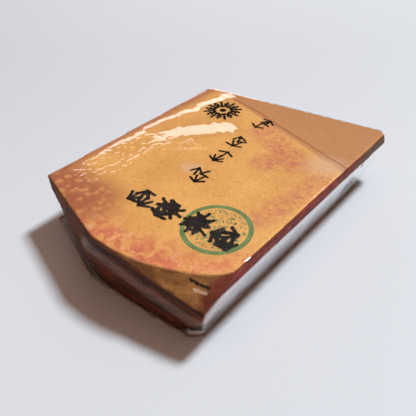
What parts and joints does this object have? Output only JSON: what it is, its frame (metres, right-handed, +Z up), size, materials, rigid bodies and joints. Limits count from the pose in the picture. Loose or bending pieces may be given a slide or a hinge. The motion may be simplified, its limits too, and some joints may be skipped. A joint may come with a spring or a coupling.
{
  "type": "wrapped natural whetstone",
  "caption": "Flat natural whetstone with a broken corner, shrink-wrapped in clear film, with black brush marks and a round green stamp on its top face.",
  "frame": {"origin": "middle of the footprint box, at the bottom of the film", "axes": "+Y along the stone to its far, square end, +X to its right side, +Z up out of the lapped face"},
  "size_m": [0.08, 0.111, 0.02],
  "materials": {
    "stone": "lapped top, rough natural skin on the sides",
    "clear_film": "clear, glossy, taut",
    "film_weld": "melted seam",
    "green_ink": "thin stamped ink",
    "black_ink": "dried brush ink",
    "raised_black_ink": "thick glossy brush ink"
  },
  "bodies": {
    "root": {"whetstone": "stone", "upper_film": "clear_film", "lower_film": "clear_film", "seal_bead": "film_weld", "green_stamp_ring": "green_ink", "green_stamp_stipple": "green_ink", "wreath_emblem": "black_ink", "small_brush_mark_1": "black_ink", "small_brush_mark_2": "black_ink", "small_brush_mark_3": "black_ink", "small_brush_mark_4": "black_ink", "bold_brush_mark_1": "raised_black_ink", "bold_brush_mark_2": "raised_black_ink", "bold_brush_mark_3": "raised_black_ink", "bold_brush_mark_4": "raised_black_ink"}
  },
  "joints": []
}
